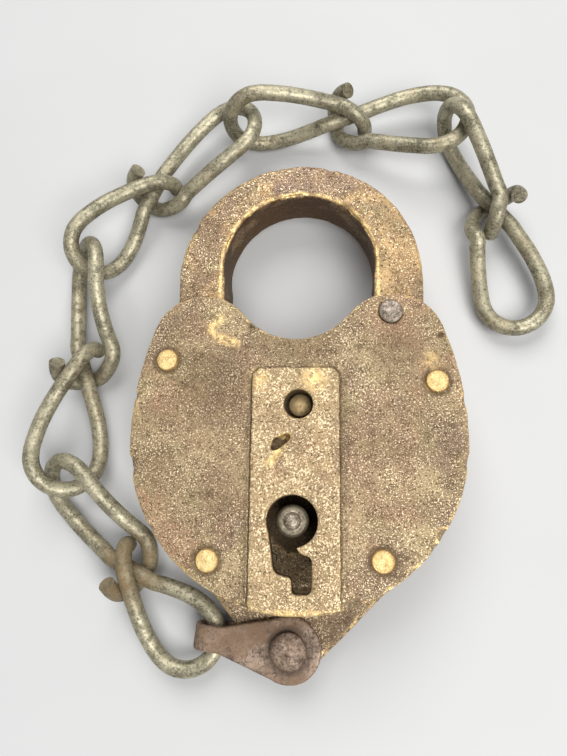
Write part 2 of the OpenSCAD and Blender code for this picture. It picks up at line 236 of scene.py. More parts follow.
def end_tree(tree: Tree, given: Node, shape: Socket) -> None:
    """Makes a tree's shape real and smooth, gives it its finish and sends it out.

    Args:
        tree: The tree.
        given: Its input node.
        shape: What it has made.
    """
    real, smooth, coat = (tree.nodes.new(f"GeometryNode{kind}")
                          for kind in ("RealizeInstances", "SetShadeSmooth", "SetMaterial"))
    tree.links.new(given.outputs["Finish"], coat.inputs["Material"])
    shape = lead(tree, shape, (real, 0), (smooth, 0), (coat, 0))
    tree.links.new(shape, tree.nodes.new("NodeGroupOutput").inputs[0])


# ---- finishes


class Shade:
    """A material's node tree, with one short method for each kind of node it uses."""

    def __init__(self, name: str) -> None:
        """Starts an empty material with one shader.

        Args:
            name: Name of the material.
        """
        self.material = bpy.data.materials.new(name)
        self.material.use_nodes = True
        self.tree = self.material.node_tree
        self.shader = self.tree.nodes["Principled BSDF"]
        self.where = self.tree.nodes.new("ShaderNodeTexCoord").outputs["Object"]

    def put(self, socket: Socket, value: Value | Colour) -> None:
        """Links a socket to another, or sets its number or colour."""
        feed(self.tree, socket, value)

    def worn(self, name: str) -> Socket:
        """The piece's own painted mask of that name."""
        node = self.tree.nodes.new("ShaderNodeAttribute")
        node.attribute_name = name
        return node.outputs["Fac"]

    def grain(self, cell: float, seed: float, detail: float = 3.0, rough_by: float = 0.55) -> Socket:
        """Noise of a stated cell size.

        Args:
            cell: Size of a cell in millimetres.
            seed: Shift that makes this noise unlike the others, in millimetres.
            detail: Number of finer layers.
            rough_by: How strong the finer layers are.

        Returns:
            The noise's value socket.
        """
        shift = self.tree.nodes.new("ShaderNodeMapping")
        shift.inputs["Location"].default_value = (seed, seed * 0.7, seed * 1.3)
        shift.inputs["Scale"].default_value = (1 / (cell * MM),) * 3
        self.put(shift.inputs["Vector"], self.where)
        node = self.tree.nodes.new("ShaderNodeTexNoise")
        node.inputs["Scale"].default_value = 1.0
        node.inputs["Detail"].default_value = detail
        node.inputs["Roughness"].default_value = rough_by
        self.put(node.inputs["Vector"], shift.outputs["Vector"])
        return node.outputs["Fac"]

    def step(self, value: Socket, low: float, high: float, to_low: float = 0.0,
             to_high: float = 1.0) -> Socket:
        """Maps low..high of a value smoothly to two other numbers.

        Args:
            value: What is mapped.
            low: Value that gives to_low.
            high: Value that gives to_high.
            to_low: Result at low.
            to_high: Result at high.

        Returns:
            The mapped value.
        """
        node = self.tree.nodes.new("ShaderNodeMapRange")
        node.interpolation_type = "SMOOTHSTEP"
        for name, number in (("From Min", low), ("From Max", high), ("To Min", to_low), ("To Max", to_high)):
            node.inputs[name].default_value = number
        self.put(node.inputs["Value"], value)
        return node.outputs["Result"]

    def times(self, a: Value, b: Value) -> Socket:
        """One value times another, held to 0..1."""
        return reckon(self.tree, "MULTIPLY", a, b, clamp=True)

    def calc(self, kind: str, a: Value, b: Value = 0.0) -> Socket:
        """One piece of arithmetic on two values."""
        return reckon(self.tree, kind, a, b)

    def axis(self, name: str) -> Socket:
        """One object coordinate, X, Y or Z, in millimetres."""
        node = self.tree.nodes.new("ShaderNodeSeparateXYZ")
        self.put(node.inputs[0], self.where)
        return self.calc("MULTIPLY", node.outputs[name], 1 / MM)

    def blend(self, share: Value, under: Socket | Colour, over: Socket | Colour) -> Socket:
        """Lays one colour over another.

        Args:
            share: How much of the upper colour shows.
            under: Lower colour.
            over: Upper colour.

        Returns:
            The mixed colour.
        """
        node = self.tree.nodes.new("ShaderNodeMix")
        node.data_type = "RGBA"
        for place, value in ((MIX_SHARE, share), (MIX_UNDER, under), (MIX_OVER, over)):
            self.put(node.inputs[place], value)
        return node.outputs[MIX_RESULT]

    def stack(self, base: Colour, *layers: tuple[Value, Colour]) -> Socket:
        """Lays colours over a base, one after another, each with the share of it that shows."""
        for share, over in layers:
            base = self.blend(share, base, over)
        return base

    def surface(self, colour: Value | Colour, metallic: Value, roughness: Value) -> None:
        """Sets the shader's colour and how metallic and how rough it is."""
        for name, value in (("Base Color", colour), ("Metallic", metallic), ("Roughness", roughness)):
            self.put(self.shader.inputs[name], value)

    def relief(self, layers: Sequence[tuple[Socket, float, float]]) -> None:
        """Chains bumps into the shader's normal.

        Args:
            layers: Height socket, strength and depth in millimetres of each bump.
        """
        last: Socket | None = None
        for height, strength, depth in layers:
            node = self.tree.nodes.new("ShaderNodeBump")
            node.inputs["Strength"].default_value = strength
            node.inputs["Distance"].default_value = depth * MM
            self.put(node.inputs["Height"], height)
            if last is not None:
                self.put(node.inputs["Normal"], last)
            last = node.outputs["Normal"]
        if last is not None:
            self.put(self.shader.inputs["Normal"], last)


@dataclass(frozen=True)
class CastBrass:
    """Browned cast brass: mottled, finely pitted, speckled bright, worn gold on its edges, with painted shade
    and painted highlights carried in its masks.
    """

    name: str
    shadow: Colour = (0.072, 0.042, 0.018)
    body: Colour = (0.212, 0.150, 0.084)
    pale: Colour = (0.325, 0.242, 0.136)
    plum: Colour = (0.165, 0.110, 0.073)
    moss: Colour = (0.235, 0.180, 0.092)
    fleck: Colour = (0.84, 0.69, 0.45)
    edge: Colour = (0.82, 0.58, 0.25)
    stain: Colour = (0.155, 0.095, 0.078)
    tint: Colour = (0.365, 0.254, 0.132)
    fleck_from: float = 0.592
    metal: Metal = Metal.PATINA
    panel: tuple[float, float, float] | None = None

    def panel_edge(self, s: Shade) -> tuple[Socket, Socket]:
        """Draws the crisp edge of the raised lock panel.

        Args:
            s: The material in the making.

        Returns:
            A dark line of painted shade along the foot of the panel's step, and the panel's own area, both 0
            to 1.
        """
        half, middle, top = self.panel
        waver = s.calc("MULTIPLY", s.calc("SUBTRACT", s.grain(1.6, 83.0, 3.0), 0.5), 0.5)
        beside = s.calc("SUBTRACT", s.calc("ABSOLUTE", s.calc("SUBTRACT", s.axis("X"), middle)), half)
        above = s.calc("SUBTRACT", s.axis("Y"), top)
        corner = s.calc("ADD", s.calc("MULTIPLY", s.calc("ADD", beside, above), 0.7), 0.8)
        off = s.calc("ADD", s.calc("MAXIMUM", s.calc("MAXIMUM", beside, above), corner), waver)
        # Painted shade: a dark line just outside the panel's edge, on the top face only.
        step_foot_shade = s.step(s.calc("ABSOLUTE", s.calc("SUBTRACT", off, 0.16)), 0.06, 0.30, 1.0, 0.0)
        return s.times(step_foot_shade, s.step(s.axis("Z"), 16.5, 17.2)), s.step(off, -0.14, 0.10, 1.0, 0.0)

    def build(self) -> Finish:
        """Makes the material from the four masks that the piece carries: wear with painted highlights,
        painted shade with dirt, tone and stain.
        """
        s = Shade(self.name)
        worn, grime, tone, stain = (s.worn(n) for n in ("worn", "grime", "tone", "stain"))
        broad, mid, fine = s.grain(9.0, 3.1), s.grain(2.6, 11.0), s.grain(0.33, 23.0, 2.0)
        tiny, dark = s.grain(0.2, 31.0, 1.5), s.step(s.grain(0.5, 47.0, 3.0), 0.53, 0.63)
        crowd = s.step(s.grain(5.0, 61.0), 0.30, 0.70, 0.05, -0.025)
        lift = s.calc("ADD", fine, s.calc("MULTIPLY", tone, 0.05))
        flecks = s.step(s.calc("SUBTRACT", lift, crowd), self.fleck_from, self.fleck_from + 0.05)
        flecks = s.calc("MAXIMUM", flecks, s.times(s.step(tiny, 0.61, 0.66), 0.8))
        colour = s.stack(
            self.body,
            (s.step(broad, 0.38, 0.62), self.pale),
            (s.step(s.grain(12.0, 91.0, 4.0), 0.48, 0.62, 0.0, 0.8), self.plum),
            (s.step(s.grain(7.0, 97.0, 4.0), 0.52, 0.64, 0.0, 0.75), self.moss),
            (s.step(mid, 0.50, 0.70, 0.0, 0.6), self.shadow),
            (s.times(tone, s.step(mid, 0.30, 0.62, 1.0, 0.6)), self.tint),
            (s.times(stain, s.step(broad, 0.3, 0.6, 1.0, 0.6)), self.stain),
            (s.times(dark, 0.8), self.shadow),
            (s.times(flecks, 0.8), self.fleck),
            # Painted shade and dirt, in the shadow colour.
            (s.times(grime, 0.93), self.shadow))
        bumps = [(s.grain(1.3, 5.0, 3.0), 0.35, 0.35), (fine, 0.6, 0.15), (tiny, 0.4, 0.07),
                 (dark, -0.5, 0.12)]
        if self.panel:
            step_foot_shade, inside = self.panel_edge(s)
            # Painted shade along the foot of the panel's step.
            colour = s.blend(s.times(step_foot_shade, 0.62), colour, self.shadow)
            bumps.append((s.calc("SUBTRACT", inside, s.calc("MULTIPLY", step_foot_shade, 0.6)), 0.8, 0.28))
        # Worn mask: wear, and on some pieces painted highlight lines and a painted reflection, all shown in
        # the bright edge colour.
        bright = s.times(worn, s.step(s.grain(1.1, 71.0, 4.0), 0.34, 0.58))
        s.surface(s.blend(bright, colour, self.edge), s.step(bright, 0.0, 1.0, self.metal.value, 0.8),
                  s.step(s.calc("MAXIMUM", bright, flecks), 0.0, 1.0, 0.62, 0.36))
        s.shader.inputs["Specular IOR Level"].default_value = 0.3
        s.relief(bumps)
        return s.material


@dataclass(frozen=True)
class Steel:
    """Old steel: grey or galvanised, with dark mottling, rubbed spots and rust."""

    name: str
    dark: Colour = (0.055, 0.050, 0.032)
    body: Colour = (0.178, 0.162, 0.106)
    pale: Colour = (0.425, 0.39, 0.272)
    rust: Colour = (0.21, 0.135, 0.055)
    rust_all_over: float = 0.0
    cell: float = 1.6
    shine: float = 0.42
    metal: Metal = Metal.DULL

    def build(self) -> Finish:
        """Makes the material from the three masks that the piece carries: wear with painted highlights,
        painted shade with dirt, and stain.
        """
        s = Shade(self.name)
        worn, grime, stain = (s.worn(n) for n in ("worn", "grime", "stain"))
        mid, fine = s.grain(self.cell, 7.0, 4.0, rough_by=0.62), s.grain(0.35, 19.0, 3.0)
        rusty = s.calc("ADD", s.times(stain, s.step(mid, 0.35, 0.6, 1.0, 0.5)),
                       s.step(s.grain(2.2, 37.0, 4.0), 0.62 - 0.3 * self.rust_all_over, 0.8, 0.0, 0.55))
        # Worn mask: wear, and on the turned pieces a painted highlight in the middle.
        bright = s.times(worn, s.step(s.grain(0.9, 43.0), 0.36, 0.6))
        colour = s.stack(
            self.body,
            (s.step(s.grain(self.cell * 3, 2.0), 0.35, 0.65), self.pale),
            (s.step(mid, 0.48, 0.66, 0.0, 0.55), self.dark),
            (s.step(fine, 0.52, 0.60, 0.0, 0.6), self.pale),
            (s.step(s.grain(0.42, 29.0), 0.52, 0.60, 0.0, 0.65), self.dark),
            (rusty, self.rust),
            # Painted shade and dirt, in the dark colour.
            (s.times(grime, 0.8), self.dark),
            (s.times(bright, 0.75), self.pale))
        matt = s.calc("MAXIMUM", rusty, s.step(mid, 0.45, 0.7))
        s.surface(colour, s.step(rusty, 0.0, 1.0, self.metal.value, 0.1),
                  s.step(matt, 0.0, 1.0, self.shine, self.shine + 0.3))
        s.relief([(mid, 0.5, 0.25), (fine, 0.4, 0.08)])
        return s.material


@dataclass(frozen=True)
class Inner:
    """Plate or spring metal inside the case, dulled and dusty."""

    name: str
    body: Colour
    other: Colour
    dust: Colour = (0.04, 0.032, 0.02)
    shine: float = 0.5
    metal: Metal = Metal.DULL

    def build(self) -> Finish:
        """Makes the material; it needs no masks, so it also suits the CAD pieces."""
        s = Shade(self.name)
        fine = s.grain(0.5, 9.0, 4.0)
        colour = s.stack(self.body, (s.step(s.grain(2.4, 4.0, 4.0), 0.38, 0.62), self.other),
                         (s.step(fine, 0.56, 0.7, 0.0, 0.6), self.dust))
        s.surface(colour, self.metal.value, s.step(fine, 0.4, 0.7, self.shine, self.shine + 0.25))
        s.relief([(fine, 0.4, 0.08)])
        return s.material


@dataclass(frozen=True)
class Ground:
    """Plain pale studio floor."""

    name: str = "pale_floor"
    colour: Colour = (0.47, 0.475, 0.48)

    def build(self) -> Finish:
        """Makes the floor's material."""
        s = Shade(self.name)
        darker = tuple(c * 0.97 for c in self.colour)
        s.surface(s.blend(s.step(s.grain(60.0, 1.0), 0.3, 0.7), self.colour, darker), 0.0, 0.75)
        return s.material


# ---- surfaces


class Skin:
    """The dense surface of one cast or forged piece, in millimetres, ready to wear and dent."""

    def __init__(self, name: str, obj: Object) -> None:
        """Reads the surface of a finished mesh object.

        Args:
            name: Name of the piece.
            obj: Object at the origin that holds the mesh.
        """
        self.obj = obj
        obj.name = name
        mesh = obj.data
        self.points = np.zeros(len(mesh.vertices) * 3)
        mesh.vertices.foreach_get("co", self.points)
        self.points = self.points.reshape(-1, 3) / MM
        pairs = np.zeros(len(mesh.edges) * 2, np.int64)
        mesh.edges.foreach_get("vertices", pairs)
        self.a, self.b = pairs.reshape(-1, 2).T
        self.count = np.maximum(np.bincount(np.concatenate([self.a, self.b]), minlength=len(self.points)), 1)

    @classmethod
    def from_nodes(cls, name: str, nodes: Sequence[str], grain: float) -> "Skin":
        """Covers copies of CAD nodes with an even skin of small quads.

        Args:
            name: Name of the new piece.
            nodes: CAD nodes to copy.
            grain: Edge of a quad in millimetres.

        Returns:
            The skin.
        """
        form = bmesh.new()
        for node in nodes:
            form.from_mesh(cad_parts[node].data)
        bmesh.ops.remove_doubles(form, verts=form.verts, dist=2e-6)
        mesh = bpy.data.meshes.new(name)
        form.to_mesh(mesh)
        form.free()
        source = stand(name + "_source", mesh)
        cover = source.modifiers.new("skin", "REMESH")
        cover.mode = "VOXEL"
        cover.voxel_size = grain * MM
        return cls(name, plain_mesh(source, name))

    @classmethod
    def from_tree(cls, name: str, tree: Tree, route: np.ndarray, runs: Sequence[tuple[int, int]],
                  values: dict[str, object]) -> "Skin":
        """Covers what a Geometry Nodes tree makes of some points.

        Args:
            name: Name of the new piece.
            tree: The tree.
            route: The points, in millimetres.
            runs: Pairs of points that are joined.
            values: What each named input gets; it is set by the input's identifier.

        Returns:
            The skin.
        """
        mesh = bpy.data.meshes.new(name + "_route")
        mesh.from_pydata([tuple(p * MM) for p in route], runs, [])
        source = stand(name + "_source", mesh)
        modifier = source.modifiers.new(tree.name, "NODES")
        modifier.node_group = tree
        for item in tree.interface.items_tree:
            if item.item_type == "SOCKET" and item.in_out == "INPUT" and item.name in values:
                modifier[item.identifier] = values[item.name]
        return cls(name, plain_mesh(source, name))

    def even(self, values: np.ndarray, steps: int, share: float = 1.0) -> np.ndarray:
        """Averages values with those of neighbouring points.

        Args:
            values: One row for each point.
            steps: How many times.
            share: How far each step goes.

        Returns:
            The averaged values.
        """
        flat = values.reshape(len(values), -1).copy()
        for _ in range(steps):
            for k in range(flat.shape[1]):
                col = flat[:, k]
                total = sum(np.bincount(a, col[b], len(col)) for a, b in ((self.a, self.b), (self.b, self.a)))
                flat[:, k] = col + share * (total / self.count - col)
        return flat.reshape(values.shape)

    def normals(self) -> np.ndarray:
        """Outward directions at the points as they now stand."""
        self.store()
        out = np.zeros(len(self.points) * 3)
        self.obj.data.vertices.foreach_get("normal", out)
        return out.reshape(-1, 3)

    def store(self) -> None:
        """Writes the points back to the mesh."""
        self.obj.data.vertices.foreach_set("co", (self.points * MM).ravel())
        self.obj.data.update()

    def relax(self, steps: int, share: float = 0.6) -> None:
        """Rounds edges and corners."""
        self.points = self.even(self.points, steps, share)

    def ridge(self, steps: int = 6) -> np.ndarray:
        """How far each point stands out of (+) or lies in (-) its neighbourhood, in millimetres."""
        return np.einsum("ij,ij->i", self.points - self.even(self.points, steps), self.normals())

    def sink(self, depth: np.ndarray) -> None:
        """Pushes the points inwards by a depth each, in millimetres."""
        self.points = self.points - self.normals() * depth[:, None]

    def paint(self, **masks: np.ndarray) -> None:
        """Stores masks on the points, for the finishes to read.

        Args:
            **masks: A number from 0 to 1 for each point, by name.
        """
        self.store()
        for name in ("worn", "grime", "tone", "stain"):
            values = masks.get(name, np.zeros(len(self.points)))
            layer = self.obj.data.attributes.new(name, "FLOAT", "POINT")
            layer.data.foreach_set("value", np.clip(values, 0, 1).astype(np.float32))

    def dress(self, finish: Finish, body: str, slot: str, nodes: Sequence[str]) -> None:
        """Gives the piece its finish and body, in place of its CAD nodes.

        Args:
            finish: Material.
            body: Body that it rides on.
            slot: Material slot of the record; not used.
            nodes: CAD nodes that it stands for.
        """
        mesh = self.obj.data
        mesh.materials.clear()
        mesh.materials.append(finish)
        mesh.polygons.foreach_set("use_smooth", np.ones(len(mesh.polygons), bool))
        mesh.update()
        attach(self.obj, body)
        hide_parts(*nodes)
        log.info("%s: %d points on %s", self.obj.name, len(mesh.vertices), body)


def stand(name: str, data: bpy.types.ID) -> Object:
    """Puts a new object with its data in the scene."""
    obj = bpy.data.objects.new(name, data)
    bpy.context.scene.collection.objects.link(obj)
    return obj


def plain_mesh(source: Object, name: str) -> Object:
    """Turns an object with modifiers into a plain mesh object and removes the source.

    Args:
        source: Object with its modifiers set.
        name: Name of the new object.

    Returns:
        The new object, at the origin.
    """
    bpy.context.view_layer.update()
    graph = bpy.context.evaluated_depsgraph_get()
    mesh = bpy.data.meshes.new_from_object(source.evaluated_get(graph))
    source.modifiers.clear()
    bpy.data.objects.remove(source)
    mesh.name = name
    return stand(name, mesh)


def finish_node(node: str, finish: Finish) -> None:
    """Gives a CAD node that stays as it is a better material."""
    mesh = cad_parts[node].data
    mesh.materials.clear()
    mesh.materials.append(finish)
    log.info("%s keeps its CAD shape", node)


# ---- the lock case


@dataclass
class LockCase:
    """The two castings of the case, with their dents, chipped rim and raised lock panel."""

    face_grain: float = 0.31
    back_grain: float = 0.42
    face_z: float = 18.0
    panel_z: float = 18.4
    panel_half: float = 8.3
    panel_top: float = 13.0
    # Painted shade: broad darker patches on the top face.
    shade_patches: Marks = (
        (-15.0, 9.0, 13.0, 0.50), (0.0, 19.0, 11.0, 0.52), (-21.0, 20.0, 8.0, 0.34), (19.0, 17.0, 11.0, 0.44),
        (-12.0, -8.0, 9.0, 0.25), (15.0, 0.0, 8.0, 0.18))
    cover_hole: Pair = (0.5, 6.1)
    key_ring: Pair = (-0.3, -15.2)
    key_top: float = -9.6
    key_low: float = -28.5
    pit: Place = (-2.6, -0.9, 17.6)
    pit_lip: Place = (-2.0, 0.7, 17.9)
    panel_rubs: Marks = ((3.4, 10.8, 3.9, 0.95), (-7.0, 10.6, 3.4, 0.6))
    face_rubs: Marks = ((25.0, 14.0, 3.0, 0.6),)
    panel_stains: Marks = ((-3.4, -6.6, 3.6, 0.55), (3.0, -2.0, 3.0, 0.4))
    pin_stains: Marks = ((17.7, 22.0, 7.5, 1.0), (22.0, 17.5, 5.0, 0.5))
    crescent: Route = ((-14.6, 22.9, 18), (-16.3, 20.8, 18), (-15.0, 18.9, 18), (-11.5, 17.8, 18))
    scratch: Route = ((-2.6, -2.2, 18.5), (-4.3, -4.2, 18.5))
    scrape: Route = ((-2.6, -2.0, 18.4), (-3.8, -3.6, 18.4), (-4.7, -5.0, 18.4))
    nicks: Marks = (
        (-31.4, -5.6, 2.6, 1.3), (31.4, 6.6, 1.7, 0.9), (31.2, -4.6, 1.9, 1.1), (26.0, -17.2, 1.6, 1.0),
        (24.6, -19.4, 1.3, 0.7), (10.4, -29.6, 2.2, 1.2), (-30.6, 7.8, 1.2, 0.6), (7.6, -31.0, 1.3, 0.7),
        (-9.2, -30.2, 1.4, 0.7), (20.8, -23.6, 1.3, 0.6), (-26.6, -16.8, 1.3, 0.6), (-3.4, -31.9, 1.0, 0.5),
        (30.6, -9.6, 1.1, 0.5), (31.6, 1.8, 1.0, 0.5), (-8.6, 21.2, 1.2, 0.5), (26.8, 19.0, 1.2, 0.5))

    def rim_wear(self, skin: Skin, seed: int, depth: float) -> None:
        """Makes a casting uneven and chips its outer edges.

        Args:
            skin: Surface to wear.
            seed: Which noise.
            depth: Deepest chip in millimetres.
        """
        p = skin.points
        edge = ease(0.04, 0.22, skin.ridge(7))
        chips = edge * (ease(0.56, 0.76, rough(p, 2.4, seed)) * depth + 0.08 * rough(p, 0.9, seed + 3, 2))
        skin.sink(0.16 * rough(p, 7.0, seed + 5) + 0.07 * lattice(p, 1.7, seed + 9) + chips)

    def face(self, finish: Finish) -> None:
        """Builds the front casting with its panel.

        Args:
            finish: Cast brass.
        """
        skin = Skin.from_nodes("face_casting", ["case_front"], self.face_grain)
        skin.relax(1)
        self.rim_wear(skin, 5, 0.45)
        p = skin.points
        skin.sink(np.max(dabs(p, self.face_z, self.nicks), axis=0) + near_line(p, self.scratch, 0.7) * 0.25)
        p, ridge = skin.points, skin.ridge(4)
        x, y, z = p.T
        aside, above = np.abs(x) - self.panel_half, y - self.panel_top
        up = ease(16.8, 17.6, z)
        panel = (1 - ease(0, 0.5, aside)) * (1 - ease(0, 0.5, above))
        # Painted shade: a dark band outside the panel, along the foot of its raised step.
        panel_gutter_shade = np.maximum(ease(-1.3, -0.2, -np.abs(aside - 0.35)) * (above < 0),
                            ease(-1.0, -0.2, -np.abs(above - 0.4)) * (aside < 0.6))
        rubs = np.max([*dabs(p, self.panel_z, self.panel_rubs), *dabs(p, self.face_z, self.face_rubs),
                       near_line(p, self.crescent, 1.5), near_line(p, self.scrape, 1.3)], axis=0)
        halo = sum(dabs(p, self.panel_z, self.panel_stains)) + sum(dabs(p, self.face_z, self.pin_stains))
        outward = ease(20.0, 30.0, np.hypot(x, y))
        warm = ease(0.46, 0.66, rough(p, 6.5, 91)) * (1 - panel) * (0.35 + 0.3 * outward)
        # A darker ring on the face round each rivet head.
        rings = (1 - ease(2.5, 3.3, np.min([off_axis(p, at) for at in CaseRivets().centres], axis=0))) * up
        # Painted shade: broad darker patches on the top face, outside the panel.
        shade_patches = sum(dabs(p, self.face_z, self.shade_patches)) * up * (1 - panel)
        # Painted reflection: the bottom rim below the panel faces away from the lamps and is painted bright
        # gold.
        low_rim_reflection = ease(-29.4, -30.7, y) * (aside < 0) * ease(15.0, 16.0, z)
        key_hole = (np.abs(x + 0.5) < 5.6) & (y < self.key_top) & (y > self.key_low)
        inside = key_hole | (off_axis(p, self.cover_hole) < 3.2)
        # Painted shade down the walls of the keyhole and the cover hole.
        hole_shade = ease(18.2, 17.2, z) * inside
        # Painted shade in the pit, except on its bright chipped lip.
        pit = near(p, self.pit, 3.2) * ease(18.45, 18.1, z)
        chip = ease(0.0, 0.35, near(p, self.pit_lip, 1.9)) * ease(18.40, 18.24, z)
        # Worn edges with a painted highlight line along them, weaker in the holes.
        edges = ease(0.045, 0.12, ridge) * (1 - 0.75 * inside)
        patchy = 0.6 + 0.4 * ease(0.4, 0.62, rough(p, 4.5, 77))
        skin.paint(worn=np.max([edges, rubs * up * 0.85, low_rim_reflection * 0.7, chip * 1.3], axis=0) * (1 - hole_shade),
                   grime=np.max([ease(0.03, 0.12, -ridge), panel_gutter_shade * up * 0.35 * (1 - panel), rings * 0.75,
                                 # Painted shade on the side wall below the top face (the 0.6 term).
                                 shade_patches, 0.6 * (1 - ease(14.6, 16.6, z)), hole_shade, pit * (1 - chip)], axis=0),
                   tone=panel * up * (1 - hole_shade) * patchy, stain=np.maximum(halo, warm) * up)
        skin.dress(finish, "lock_case", "cast_brass", ["case_front"])

    def shell(self, finish: Finish) -> None:
        """Builds the back casting with its side wall and lug.

        Args:
            finish: Cast brass.
        """
        skin = Skin.from_nodes("back_casting", ["case_back"], self.back_grain)
        skin.relax(2)
        self.rim_wear(skin, 41, 0.4)
        p, ridge = skin.points, skin.ridge(5)
        x, y, z = p.T
        # The lug below the case: painted shade and a brown stain.
        lug = ease(-30.5, -34.0, y)
        # Painted shade inside the hollow of the case.
        hollow_shade = (np.hypot(x, y) < 27.5) * ease(15.0, 14.0, z) * (z > 2.5)
        off = off_axis(p, self.key_ring)
        below = (y < -15.0) & (np.abs(x) < 6.0) & (z < 8.0)
        slot = below * ease(6.2, 6.6, off)
        # Painted highlight: a thin bright arc at the edge of the keyway ring.
        ring_edge_highlight = below * (1 - ease(0.1, 0.45, np.abs(off - 6.5)))
        # Worn edges with a painted highlight line along them.
        skin.paint(worn=np.maximum(ease(0.05, 0.2, ridge) * 0.8, ring_edge_highlight * 0.5),
                   grime=np.max([ease(0.03, 0.2, -ridge) * (1 - slot), hollow_shade * 0.85 * (1 - slot),
                                 lug * 0.45], axis=0),
                   tone=np.maximum(lug * 0.1, slot * 0.9),
                   stain=lug * 0.8 + 0.35 * ease(0.5, 0.75, rough(p, 8.0, 3)))
        skin.dress(finish, "lock_case", "cast_brass", ["case_back"])


@dataclass
class CaseRivets:
    """The four brass rivets that hold the case together."""

    centres: tuple[Pair, ...] = ((-24.6, 14.6), (25.8, 10.2), (-15.6, -22.0), (15.4, -21.6))
    head_radius: float = 2.18
    head_height: float = 0.56
    shank_radius: float = 1.55
    squat: float = 0.55
    foot_gap: float = 0.02
    head_grid: tuple[int, int] = (56, 32)
    shank_grid: tuple[int, int] = (40, 3)
    face_z: float = 18.0
    seed: int = 4

    def tree(self) -> Tree:
        """Builds the tree that sets a flattened, hammered head and its shank on each point."""
        tree, given = start_tree("rivets", {"Head radius": "Float", "Head height": "Float",
                                            "Shank radius": "Float", "Length": "Float", "Seed": "Int"})
        add, link = tree.nodes.new, tree.links.new

        ball = add("GeometryNodeMeshUVSphere")
        ball.inputs["Segments"].default_value, ball.inputs["Rings"].default_value = self.head_grid
        link(given.outputs["Head radius"], ball.inputs["Radius"])
        place, apart = add("GeometryNodeInputPosition"), add("ShaderNodeSeparateXYZ")
        join = add("ShaderNodeCombineXYZ")
        lead(tree, place.outputs[0], (apart, 0), (join, 0))
        link(apart.outputs[1], join.inputs[1])
        height = given.outputs["Head height"]
        top = reckon(tree, "MINIMUM", reckon(tree, "MULTIPLY", apart.outputs[2], self.squat), height)
        link(reckon(tree, "MAXIMUM", top, reckon(tree, "MULTIPLY", height, -1.0)), join.inputs[2])
        flat, both = add("GeometryNodeSetPosition"), add("GeometryNodeJoinGeometry")
        lead(tree, ball.outputs["Mesh"], (flat, "Geometry"), (both, 0))
        link(join.outputs[0], flat.inputs["Position"])
        rod = add("GeometryNodeMeshCylinder")
        rod.inputs["Vertices"].default_value, rod.inputs["Side Segments"].default_value = self.shank_grid
        link(given.outputs["Shank radius"], rod.inputs["Radius"])
        link(given.outputs["Length"], rod.inputs["Depth"])
        drop, down = add("GeometryNodeTransform"), add("ShaderNodeCombineXYZ")
        lead(tree, reckon(tree, "MULTIPLY", given.outputs["Length"], -0.5), (down, 2), (drop, "Translation"))
        lead(tree, rod.outputs["Mesh"], (drop, "Geometry"), (both, 0))
        spread, turn = add("GeometryNodeInstanceOnPoints"), add("FunctionNodeRandomValue")
        turn.data_type = "FLOAT_VECTOR"
        turn.inputs[0].default_value = (0, 0, 0)
        turn.inputs[1].default_value = (0, 0, FULL_TURN)
        link(given.outputs["Seed"], turn.inputs["Seed"])
        link(both.outputs[0], spread.inputs["Instance"])
        link(turn.outputs[0], spread.inputs["Rotation"])
        end_tree(tree, given, lead(tree, given.outputs["Geometry"], (spread, "Points")))
        return tree

    def build(self, finish: Finish) -> None:
        """Sets the rivets and dresses them.

        Args:
            finish: Rubbed brass.
        """
        places = np.array([(x, y, self.face_z) for x, y in self.centres])
        skin = Skin.from_tree("case_rivets", self.tree(), places, [], {
            "Head radius": self.head_radius * MM, "Head height": self.head_height * MM,
            "Shank radius": self.shank_radius * MM, "Length": (self.face_z - self.foot_gap) * MM,
            "Seed": self.seed, "Finish": finish})
        p = skin.points
        head = ease(self.face_z - 0.1, self.face_z + 0.1, p[:, 2])
        skin.sink(head * (0.16 * lattice(p, 1.4, 8) + 0.07 * lattice(p, 0.7, 9)))
        p = skin.points
        off = np.min([off_axis(p, at) for at in self.centres], axis=0)
        rim = np.maximum(ease(1.75, 1.95, off), ease(0.62, 0.8, rough(p, 1.3, 6)) * 0.7)
        # Painted highlight in the middle of each head; the outer edge of each head is darker.
        skin.paint(worn=(1 - ease(1.2, 1.75, off)) * 0.5, grime=ease(1.98, 2.15, off), stain=rim)
        skin.dress(finish, "lock_case", "bright_brass", [f"case_rivet_{i}" for i in range(1, 5)])


# ---- shackle, pin and posts


